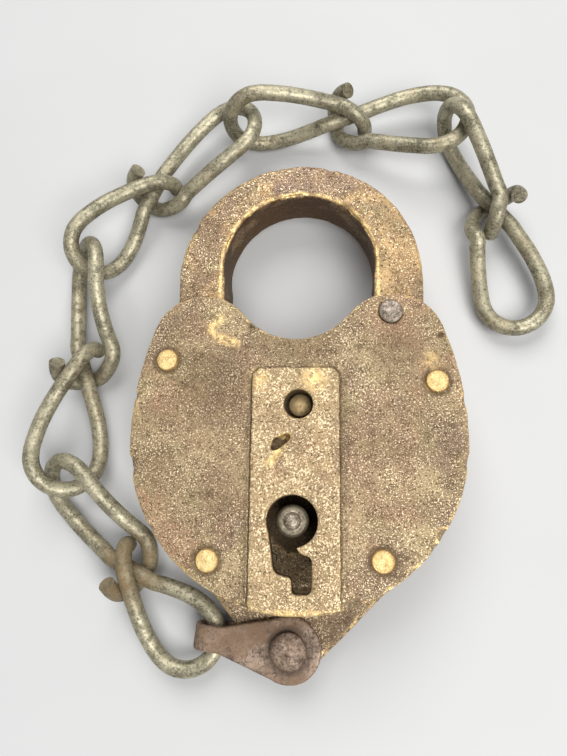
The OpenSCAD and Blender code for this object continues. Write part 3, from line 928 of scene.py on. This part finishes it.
@dataclass
class Shackle:
    """The cast bow, chipped along its inner edge, with notches in its outer edge."""

    grain: float = 0.32
    centre: Pair = (0.1, 34.8)
    high: float = 14.25
    notches: Marks = (
        (-17.2, 50.6, 1.4, 0.8), (-21.6, 43.6, 1.6, 1.0), (-23.4, 40.8, 1.1, 0.6), (9.4, 56.4, 1.6, 0.6),
        (21.6, 45.4, 1.0, 0.5), (-8.0, 56.6, 1.2, 0.5), (3.0, 57.6, 1.2, 0.4))
    chips: Marks = (
        (8.9, 46.6, 2.2, 1.1), (12.0, 44.2, 1.6, 0.7), (2.0, 49.9, 1.8, 0.5), (-4.8, 49.2, 1.6, 0.5),
        (-10.6, 45.0, 1.6, 0.5), (14.6, 38.8, 1.5, 0.5))
    hammered: Route = ((6.0, 54.8, 14.2), (12.5, 52.0, 14.2))

    def build(self, finish: Finish) -> None:
        """Builds and dresses the shackle.

        Args:
            finish: Cast brass of the shackle.
        """
        skin = Skin.from_nodes("bow", ["shackle"], self.grain)
        skin.relax(3)
        p = skin.points
        edge = ease(0.03, 0.2, skin.ridge(7))
        chips = edge * (ease(0.46, 0.7, rough(p, 3.4, 12)) * 0.5 + 0.10 * rough(p, 0.9, 15, 2))
        wave = 0.22 * rough(p, 6.0, 17) + 0.08 * lattice(p, 1.6, 19)
        skin.sink(chips + wave)
        p = skin.points
        dents = np.max(dabs(p, self.high, self.notches + self.chips), axis=0)
        hammer = near_line(p, self.hammered, 3.0) * ease(0.4, 0.7, lattice(p, 1.3, 27)) * 0.3
        skin.sink(dents + hammer)
        p, ridge = skin.points, skin.ridge(4)
        x, y, z = p.T
        off = np.hypot(x - self.centre[0], np.maximum(y - self.centre[1], 0))
        # Painted shade on the inner wall of the bow, below its top face; golden streaks show through it.
        inner = (1 - ease(15.3, 16.2, off)) * (1 - ease(13.4, 14.1, z))
        crown = ease(44.0, 52.0, y) * ease(0.35, 0.6, rough(p, 7.0, 33) + 0.12)
        # Wear and a painted highlight line along the inner top edge of the bow.
        lip_wear_and_highlight = ease(0.05, 0.13, ridge) * np.where(off < 18, 0.9, 0.3) * (z > 12.6)
        lip_wear_and_highlight = np.maximum(lip_wear_and_highlight, (1 - ease(0.12, 0.4, np.abs(off - 15.7))) * ease(13.2, 13.8, z) * 0.8)
        rub = ease(0.50, 0.72, rough(p, 3.4, 35)) * 0.35 * ease(6.5, 9.0, z)
        skin.paint(worn=lip_wear_and_highlight, grime=np.maximum(ease(0.03, 0.16, -ridge), inner * (1 - rub)) * (1 - 0.8 * lip_wear_and_highlight),
                   tone=ease(0.45, 0.7, rough(p, 8.0, 37)) * 0.8 * (1 - inner) * (1 - crown), stain=crown)
        skin.dress(finish, "shackle", "shackle_brass", ["shackle"])


@dataclass
class Fastenings:
    """Steel pin, key post and the rivet that holds the strap."""

    pin_at: Pair = (17.7, 23.6)
    post_at: Pair = (-0.6, -15.0)
    strap_at: Pair = (-1.7, -38.7)

    def turned(self, name: str, node: str, at: Pair, grain: float, lumps: float, rim: Pair,
               finish: Finish, slot: str) -> None:
        """Builds one round steel piece from its CAD node.

        Args:
            name: Name of the piece.
            node: CAD node.
            at: Its axis in plan.
            grain: Edge of a quad in millimetres.
            lumps: Depth of its dents in millimetres.
            rim: Radii between which painted shade and a brown stain darken it; the painted highlight in the
                middle fades out by the first.
            finish: Steel.
            slot: Material slot.
        """
        skin = Skin.from_nodes(name, [node], grain)
        skin.relax(2)
        p = skin.points
        skin.sink(lumps * rough(p, 1.5, 51) + lumps * 0.4 * lattice(p, 0.6, 53))
        p, ridge = skin.points, skin.ridge(5)
        off = off_axis(p, at)
        # Painted highlight: bright middle fading out to the first rim radius; painted shade: a dark ring
        # between the rim radii.
        skin.paint(worn=np.maximum(0.8 - ease(0.0, rim[0], off), ease(0.04, 0.12, ridge) * 0.6),
                   grime=np.maximum(ease(rim[0], rim[1], off) * 0.8, ease(0.02, 0.1, -ridge)),
                   stain=ease(rim[0], rim[1], off) * 0.6)
        skin.dress(finish, "lock_case", slot, [node])

    def build(self, pin: Finish, post: Finish, rusty: Finish) -> None:
        """Builds the three pieces.

        Args:
            pin: Finish of the shackle pin.
            post: Finish of the key post.
            rusty: Finish of the strap rivet.
        """
        self.turned("hinge_pin", "shackle_pin", self.pin_at, 0.16, 0.14, (1.7, 2.4), pin, "pin_steel")
        self.turned("key_pin", "key_post", self.post_at, 0.14, 0.04, (1.5, 2.5), post, "post_steel")
        self.turned("strap_rivet_head", "strap_rivet", self.strap_at, 0.2, 0.3, (2.7, 3.7), rusty,
                    "strap_steel")


@dataclass
class Strap:
    """The folded steel strap, rolled round the first loop of the chain."""

    grain: float = 0.21
    rivet_at: Pair = (-1.7, -38.7)

    def build(self, finish: Finish) -> None:
        """Builds and dresses the strap.

        Args:
            finish: Rusty steel.
        """
        skin = Skin.from_nodes("strap_plate", ["chain_strap"], self.grain)
        skin.relax(2)
        p = skin.points
        edge = ease(0.02, 0.12, skin.ridge(5))
        skin.sink(0.12 * rough(p, 3.0, 61) + 0.05 * lattice(p, 0.8, 63) + edge * 0.2 * rough(p, 1.2, 65))
        p, ridge = skin.points, skin.ridge(5)
        off = off_axis(p, self.rivet_at)
        skin.paint(worn=np.maximum(ease(0.03, 0.12, ridge), ease(0.55, 0.75, rough(p, 1.5, 67)) * 0.5),
                   grime=np.maximum(ease(0.02, 0.1, -ridge), ease(4.9, 4.1, off) * 0.7),
                   stain=ease(0.35, 0.65, rough(p, 4.0, 69)))
        skin.dress(finish, "strap", "strap_steel", ["chain_strap"])


# ---- chain


@dataclass
class Chain:
    """Five links of round wire, each with two open loops knotted at its middle."""

    wire_radius: float = 1.66
    wire: float = 3.4
    ring_spacing: float = 0.32
    sides: int = 28
    dent_size: float = 4.0
    dent_depth: float = -0.1
    body_radius: float = 31.2
    loop_half: float = 6.4
    knot_rise: float = 1.59
    face_gap: float = 0.15
    over: Route = (
        (-0.24, 0.18, 1.1), (0.41, -0.18, 1.06), (0.94, -0.47, 0.76), (1.26, -0.65, 0.24),
        (1.32, -0.65, -0.41))
    under: Route = (
        (1.53, -1.68, 0.09), (0.88, -1.71, -0.15), (0.21, -1.35, -0.53), (-0.35, -0.71, -0.94),
        (-0.59, 0.12, -1.09), (-0.74, 0.94, -0.76), (-0.59, 1.35, 0), (-0.29, 1.35, 0.71), (0.15, 1.21, 1.21))
    through: Route = ((-1.32, -0.53, 0), (-0.44, -0.18, 0), (0.44, 0.18, 0), (1.32, 0.53, 0))
    knots: tuple[Pair, ...] = ((217, 10.4), (161.2, 17.8), (120.6, 34.3), (82.5, 42.5), (50.6, 33.5))
    strap_meet: Place = (-17.6, -41.6, 4.4)
    meets: Route = ((188, 17.7, 7.2), (138.8, 30.5, 8), (100.3, 41.6, 9), (64.9, 45.3, 9.2),
                                (28.3, 20.3, 3.4))
    rolls: tuple[Pair, ...] = ((0, -42), (-34, -52), (-50, -18), (-70, -8), (-84, 6))
    hooks: tuple[Pair, ...] = ((0, 2.7), (2.8, 2.5), (2.6, 2.4), (2.7, 3.2), (2.4, 0))
    spreads: tuple[Pair, ...] = ((0, 0), (0.4, 0), (0, 0), (0, 0.8), (-0.2, 0))
    rust: tuple[float, ...] = (0.9, 0.25, 0.15, 0.1, 0.1)

    def beside(self, bearing: float, off: float) -> Pair:
        """Place in plan at a bearing from the case's middle and a distance beyond its round."""
        reach = self.body_radius + off
        return reach * math.cos(math.radians(bearing)), reach * math.sin(math.radians(bearing))

    def knot(self, i: int) -> np.ndarray:
        """Middle of a link's knot."""
        return np.array([*self.beside(*self.knots[i]), self.knot_rise * self.wire + self.face_gap])

    def meeting(self, i: int) -> np.ndarray:
        """Place where a link's first loop meets what comes before it."""
        if i == 0:
            return np.array(self.strap_meet)
        bearing, off, height = self.meets[i - 1]
        return np.array([*self.beside(bearing, off), height])

    def axes(self, at: np.ndarray, to: np.ndarray, roll: float) -> tuple[np.ndarray, np.ndarray]:
        """Directions along and across a loop.

        Args:
            at: Knot that it starts from.
            to: Point that it runs to.
            roll: Its roll about its own length, in degrees.

        Returns:
            Unit vectors along the loop and across it.
        """
        along = (to - at) / np.linalg.norm(to - at)
        side = np.array([-along[1], along[0], 0.0])
        side /= np.linalg.norm(side)
        angle = math.radians(roll)
        return along, side * math.cos(angle) + np.cross(along, side) * math.sin(angle)

    def strand(self, at: np.ndarray, along: np.ndarray, across: np.ndarray, start: np.ndarray, mid: float,
               half: float) -> list[np.ndarray]:
        """Points of a strand that widens from the knot into the plane of its loop.

        Args:
            at: Knot.
            along: Direction of the loop.
            across: Direction across it.
            start: Point at the knot where the strand starts.
            mid: Distance from the knot to the middle of the loop's end.
            half: Half the loop's width, signed by the strand's side.

        Returns:
            The points.
        """
        p = start - at
        x, y = p @ along, p @ across
        off = p - along * x - across * y
        return [at + along * (x + (mid - x) * t) + across * (y + (half - y) * math.sin(math.pi / 2 * t))
                + off * (1 - t) ** 2 for t in np.arange(1, 7) / 7]

    def loop(self, at: np.ndarray, axes: tuple[np.ndarray, np.ndarray], length: float, half: float,
             start: np.ndarray, end: np.ndarray) -> list[np.ndarray]:
        """Points of one loop, from one point at the knot round to another.

        Args:
            at: Knot.
            axes: Directions along the loop and across it.
            length: From the knot to the loop's end.
            half: Half its width.
            start: Point at the knot where it starts.
            end: Point at the knot where it comes back.

        Returns:
            The points.
        """
        along, across = axes
        mid = length - half
        bend = [at + along * (mid + half * math.cos(a)) + across * half * math.sin(a)
                for a in np.radians(90 - 22.5 * np.arange(9))]
        return (self.strand(at, along, across, start, mid, half) + bend
                + self.strand(at, along, across, end, mid, -half)[::-1])

    def route(self, i: int) -> np.ndarray:
        """Points along a whole link's wire, in millimetres."""
        at = self.knot(i)
        ends = self.meeting(i), self.meeting(i + 1)
        back, fore = self.axes(at, ends[0], self.rolls[i][0]), self.axes(at, ends[1], self.rolls[i][1])
        way = (fore[0] * [1, 1, 0]) - (back[0] * [1, 1, 0])
        way /= np.linalg.norm(way)
        left = np.array([-way[1], way[0], 0.0])
        over, under, neck = ([at + self.wire * (way * x + left * y + np.array([0, 0, z])) for x, y, z in part]
                             for part in (self.over, self.under, self.through))
        long = [np.linalg.norm(e - at) + h for e, h in zip(ends, self.hooks[i])]
        half = [self.loop_half + s for s in self.spreads[i]]
        return np.array(over[::-1] + self.loop(at, back, long[0], half[0], neck[0], over[0])[::-1] + neck
                        + self.loop(at, fore, long[1], half[1], neck[-1], under[0]) + under)

    def tree(self) -> Tree:
        """Builds the tree that draws round, slightly dented wire along a route."""
        tree, given = start_tree("wire", {
            "Wire radius": "Float", "Ring spacing": "Float", "Dent depth": "Float", "Dent size": "Float",
            "Sides": "Int", "Seed": "Float"})
        add, link = tree.nodes.new, tree.links.new
        curve, kind = add("GeometryNodeMeshToCurve"), add("GeometryNodeCurveSplineType")
        fine = add("GeometryNodeSetSplineResolution")
        kind.spline_type = "CATMULL_ROM"
        fine.inputs["Resolution"].default_value = 12
        rings = add("GeometryNodeResampleCurve")
        rings.mode = "LENGTH"
        ring, tube = add("GeometryNodeCurvePrimitiveCircle"), add("GeometryNodeCurveToMesh")
        tube.inputs["Fill Caps"].default_value = True
        link(given.outputs["Ring spacing"], rings.inputs["Length"])
        link(given.outputs["Sides"], ring.inputs["Resolution"])
        lead(tree, given.outputs["Wire radius"], (ring, "Radius"), (tube, "Profile Curve"))
        noise, place = add("ShaderNodeTexNoise"), add("GeometryNodeInputPosition")
        out_dir = add("GeometryNodeInputNormal")
        noise.noise_dimensions = "4D"
        lead(tree, place.outputs[0], (noise, "Vector"))
        link(reckon(tree, "DIVIDE", 1.0, given.outputs["Dent size"]), noise.inputs["Scale"])
        link(given.outputs["Seed"], noise.inputs["W"])
        push, move = add("ShaderNodeVectorMath"), add("GeometryNodeSetPosition")
        push.operation = "SCALE"
        depth = reckon(tree, "MULTIPLY", noise.outputs["Fac"], given.outputs["Dent depth"])
        link(depth, push.inputs["Scale"])
        lead(tree, out_dir.outputs[0], (push, 0), (move, "Offset"))
        end_tree(tree, given, lead(tree, given.outputs["Geometry"], (curve, 0), (kind, "Curve"), (fine, 0),
                                   (rings, "Curve"), (tube, "Curve"), (move, "Geometry")))
        return tree

    def build(self, finish: Finish) -> None:
        """Draws and dresses the five links.

        Args:
            finish: Galvanised wire.
        """
        tree = self.tree()
        for i in range(len(self.knots)):
            points = self.route(i)
            runs = [(k, k + 1) for k in range(len(points) - 1)]
            skin = Skin.from_tree(f"wire_link_{i + 1}", tree, points, runs, {
                "Wire radius": self.wire_radius * MM, "Ring spacing": self.ring_spacing * MM,
                "Dent depth": self.dent_depth * MM, "Dent size": self.dent_size * MM,
                "Sides": self.sides, "Seed": 3.7 * i, "Finish": finish})
            p = skin.points
            # Round each knot, where the wires crowd together: dirt and painted shade, and rust.
            heart = 1 - ease(4.0, 10.0, np.linalg.norm((p - self.knot(i)) * (1, 1, 0.8), axis=1))
            rubs = sum(near(p, self.meeting(k), 5.0) for k in (i, i + 1))
            skin.paint(worn=ease(0.42, 0.62, rough(p, 5.0, 71 + i)) * 0.7 + 0.3 * rubs,
                       # Painted shade: the wire darkens towards the floor.
                       grime=heart * 0.35 + 0.35 * ease(4.0, 1.5, p[:, 2]),
                       stain=heart * self.rust[i] + 0.3 * ease(0.55, 0.75, rough(p, 6.0, 91 + i)))
            skin.dress(finish, f"link_{i + 1}", "wire_steel", [f"chain_link_{i + 1}"])


# ---- studio


@dataclass
class Studio:
    """Pale floor, soft lamps and the camera above the lock."""

    eye: Place = (8.1, -12.7, 130.5)
    back: Place = (0.0903, -0.20514, 0.97456)
    roll: float = -0.013
    lens: float = 29.52
    sensor: float = 36.0
    floor_half: float = 450.0
    window_at: Place = (-60, 600, 760)
    ceiling_at: Place = (330, -330, 700)
    aim: Place = (0, 10, 5)
    power: float = 8.2
    sky: Colour = (0.93, 0.96, 1.0)
    sky_strength: float = 0.30

    def camera(self) -> None:
        """Sets the camera at the viewing angle."""
        data = bpy.data.cameras.new("camera")
        data.sensor_fit = "VERTICAL"
        data.sensor_height = self.sensor
        data.lens = self.lens
        data.clip_start = 0.005
        data.clip_end = 10.0
        z = Vector(self.back).normalized()
        y = (Vector((0, 1, 0)) - z * z.y).normalized()
        x = y.cross(z)
        turn = Matrix((x, y, z)).transposed().to_4x4() @ Matrix.Rotation(-self.roll, 4, "Z")
        camera = stand("camera", data)
        camera.matrix_world = Matrix.Translation(Vector(self.eye) * MM) @ turn
        bpy.context.scene.camera = camera

    def floor(self, finish: Finish) -> None:
        """Lays the floor.

        Args:
            finish: Pale floor.
        """
        form = bmesh.new()
        bmesh.ops.create_grid(form, x_segments=24, y_segments=24, size=self.floor_half * MM)
        mesh = bpy.data.meshes.new("floor")
        form.to_mesh(mesh)
        form.free()
        mesh.materials.append(finish)
        stand("floor", mesh)

    def lamp(self, name: str, at: Place, size: float, power: float, colour: Colour) -> None:
        """Hangs one soft lamp that faces the lock.

        Args:
            name: Name of the lamp.
            at: Its place in millimetres.
            size: Its edge in millimetres.
            power: Its power in watts.
            colour: Its colour.
        """
        data = bpy.data.lights.new(name, "AREA")
        data.size = size * MM
        data.energy = power
        data.color = colour
        lamp = stand(name, data)
        lamp.location = Vector(at) * MM
        lamp.rotation_euler = (Vector(at) - Vector(self.aim)).to_track_quat("Z", "Y").to_euler()

    def light(self) -> None:
        """Hangs the lamps and sets the sky."""
        self.lamp("window", self.window_at, 640, self.power, (1.0, 0.985, 0.955))
        self.lamp("ceiling", self.ceiling_at, 560, self.power, (1.0, 0.985, 0.96))
        world = bpy.data.worlds.new("sky")
        bpy.context.scene.world = world
        world.use_nodes = True
        ground = world.node_tree.nodes["Background"]
        ground.inputs["Color"].default_value = (*self.sky, 1.0)
        ground.inputs["Strength"].default_value = self.sky_strength
        bpy.context.scene.view_settings.view_transform = "Standard"


def main() -> None:
    """Builds the lock, the chain and the studio in order."""
    logging.basicConfig(level=logging.INFO, format="%(name)s: %(message)s")
    studio = Studio()
    studio.camera()
    studio.floor(Ground().build())
    studio.light()
    case_brass = CastBrass("cast_brass_case", stain=(0.30, 0.165, 0.10), panel=(8.15, -0.05, 12.95)).build()
    case = LockCase()
    case.face(case_brass)
    case.shell(CastBrass("cast_brass_back", body=(0.25, 0.175, 0.095), pale=(0.35, 0.25, 0.14)).build())
    CaseRivets().build(CastBrass(
        "rubbed_rivet_brass", body=(0.52, 0.35, 0.13), pale=(0.68, 0.50, 0.22), fleck=(0.86, 0.70, 0.40),
        edge=(0.80, 0.61, 0.30), stain=(0.34, 0.21, 0.07), shadow=(0.30, 0.19, 0.07),
        plum=(0.52, 0.36, 0.14), moss=(0.68, 0.51, 0.23), metal=Metal.DULL).build())
    Shackle().build(CastBrass(
        "cast_brass_bow", shadow=(0.066, 0.032, 0.010), body=(0.31, 0.195, 0.094), pale=(0.43, 0.285, 0.135),
        fleck_from=0.606, stain=(0.185, 0.125, 0.104), tint=(0.57, 0.375, 0.18)).build())
    rusty = Steel(
        "rusty_steel", body=(0.140, 0.092, 0.066), pale=(0.32, 0.235, 0.175), dark=(0.045, 0.03, 0.02),
        rust=(0.18, 0.112, 0.066), rust_all_over=0.4, cell=1.2, shine=0.5).build()
    Fastenings().build(
        Steel("pin_steel", body=(0.20, 0.155, 0.125), pale=(0.44, 0.37, 0.31),
              rust=(0.25, 0.125, 0.065)).build(),
        Steel("post_steel", body=(0.15, 0.118, 0.08), pale=(0.48, 0.42, 0.32), cell=1.0, shine=0.34).build(),
        rusty)
    Strap().build(rusty)
    Chain().build(Steel("galvanised_wire").build())
    inner_brass = Inner("inner_brass", (0.30, 0.22, 0.11), (0.18, 0.13, 0.07)).build()
    spring_steel = Inner("spring_steel", (0.20, 0.19, 0.17), (0.10, 0.09, 0.08), metal=Metal.BARE).build()
    # Painted light: the posts seen through the holes are given a bright gold colour.
    post_steel = Inner("painted_lit_post_steel", (0.40, 0.28, 0.13), (0.60, 0.45, 0.23)).build()
    # Painted shade: the keyway ring inside the case is made near black.
    shaded_ring_brass = Inner("shaded_ring_brass", (0.055, 0.040, 0.024), (0.085, 0.062, 0.036)).build()
    springs = [f"tumbler_spring_{i}" for i in (1, 2, 3)] + ["dog_spring", "kick_spring"]
    for finish, nodes in ((shaded_ring_brass, ["keyway_ring"]), (spring_steel, springs),
                          (inner_brass, ["locking_dog", "tumbler_1", "tumbler_2", "tumbler_3"]),
                          (post_steel, ["tumbler_post", "dog_post"])):
        for node in nodes:
            finish_node(node, finish)


if __name__ == "__main__":
    main()
